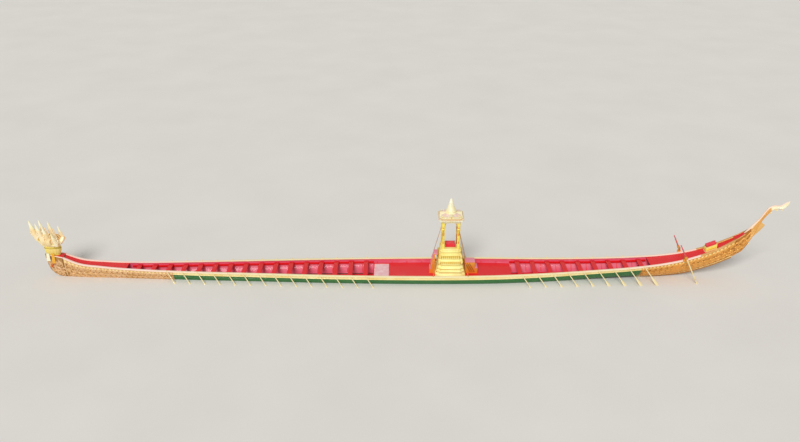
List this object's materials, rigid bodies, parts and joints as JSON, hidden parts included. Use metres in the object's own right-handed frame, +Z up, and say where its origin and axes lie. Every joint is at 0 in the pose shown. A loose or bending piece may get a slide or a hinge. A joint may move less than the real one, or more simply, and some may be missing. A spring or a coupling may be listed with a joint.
{
  "type": "royal barge, 1:2 scale model",
  "caption": "Long slender ceremonial paddled barge with a serpent-fan bow, a throne pavilion on the middle deck, an upswept tail and two steering oars, as a 1:2 scale model.",
  "frame": {"origin": "on the centreline at the waterline, halfway between the bow tip and the tail tip", "axes": "+X towards the stern, +Y towards starboard, +Z up"},
  "size_m": [22.418, 1.803, 2.9761],
  "materials": {
    "gilded_wood": "carved and gilded, semi-gloss",
    "pale_gold_wood": "pale gold paint, satin",
    "green_painted_wood": "green paint, satin",
    "red_painted_wood": "red paint, matte",
    "cream_painted_wood": "cream and gold paint, satin",
    "gilded_metal": "polished, gilded",
    "red_cloth": "soft cloth",
    "sash_cloth": "soft yellow cloth with a green edge"
  },
  "bodies": {
    "barge": {"bottom_planks_bow": "gilded_wood", "bottom_planks_mid": "green_painted_wood", "bottom_planks_aft": "green_painted_wood", "bottom_planks_stern": "gilded_wood", "side_planks_bow_port": "gilded_wood", "side_planks_bow_starboard": "gilded_wood", "side_planks_fore_port": "green_painted_wood", "side_planks_fore_starboard": "green_painted_wood", "side_planks_mid_port": "green_painted_wood", "side_planks_mid_starboard": "green_painted_wood", "side_planks_aft_port": "green_painted_wood", "side_planks_aft_starboard": "green_painted_wood", "side_planks_stern_port": "gilded_wood", "side_planks_stern_starboard": "gilded_wood", "gunwale_fore_port": "pale_gold_wood", "gunwale_fore_starboard": "pale_gold_wood", "gunwale_mid_port": "pale_gold_wood", "gunwale_mid_starboard": "pale_gold_wood", "gunwale_aft_port": "pale_gold_wood", "gunwale_aft_starboard": "pale_gold_wood", "bow_deck": "red_painted_wood", "floorboards_fore": "red_painted_wood", "floorboards_aft": "red_painted_wood", "stern_deck": "red_painted_wood", "mid_deck": "red_painted_wood", "thwarts_fore_1": "red_painted_wood", "thwarts_fore_2": "red_painted_wood", "thwarts_fore_3": "red_painted_wood", "thwarts_aft_1": "red_painted_wood", "thwarts_aft_2": "red_painted_wood", "thwarts_aft_3": "red_painted_wood", "stem": "gilded_wood", "neck_sash": "sash_cloth", "naga_hood": "gilded_wood", "naga_head_centre": "gilded_wood", "naga_head_inner_port": "gilded_wood", "naga_head_inner_starboard": "gilded_wood", "naga_head_middle_port": "gilded_wood", "naga_head_middle_starboard": "gilded_wood", "naga_head_outer_port": "gilded_wood", "naga_head_outer_starboard": "gilded_wood", "tail": "gilded_wood", "pavilion_base": "cream_painted_wood", "pavilion_frame": "cream_painted_wood", "pavilion_roof": "cream_painted_wood", "throne_cushion": "red_cloth", "curtain_port": "red_cloth", "curtain_starboard": "red_cloth", "steps_fore": "gilded_wood", "steps_aft": "red_painted_wood", "stay_fore_port": "gilded_metal", "stay_fore_starboard": "gilded_metal", "stay_aft_port": "gilded_metal", "stay_aft_starboard": "gilded_metal", "stern_seat": "gilded_wood", "stern_cushion": "red_cloth"},
    "swivel_port": {"oar_swivel_port": "gilded_metal"},
    "swivel_starboard": {"oar_swivel_starboard": "gilded_metal"},
    "oar_port": {"steering_oar_port": "pale_gold_wood"},
    "oar_starboard": {"steering_oar_starboard": "pale_gold_wood"}
  },
  "joints": [
    {"name": "oar_sweep_port", "type": "hinge", "parent": "barge", "child": "swivel_port", "pos_m": [8.27, -0.3, 0.725], "axis": [0, 0, 1], "range_deg": [-40, 20]},
    {"name": "oar_dip_port", "type": "hinge", "parent": "swivel_port", "child": "oar_port", "pos_m": [8.27, -0.4, 0.79], "axis": [0, 1, 0], "range_deg": [-35, 12]},
    {"name": "oar_sweep_starboard", "type": "hinge", "parent": "barge", "child": "swivel_starboard", "pos_m": [8.27, 0.3, 0.725], "axis": [0, 0, 1], "range_deg": [-20, 40]},
    {"name": "oar_dip_starboard", "type": "hinge", "parent": "swivel_starboard", "child": "oar_starboard", "pos_m": [8.27, 0.4, 0.79], "axis": [0, 1, 0], "range_deg": [-35, 12]}
  ]
}
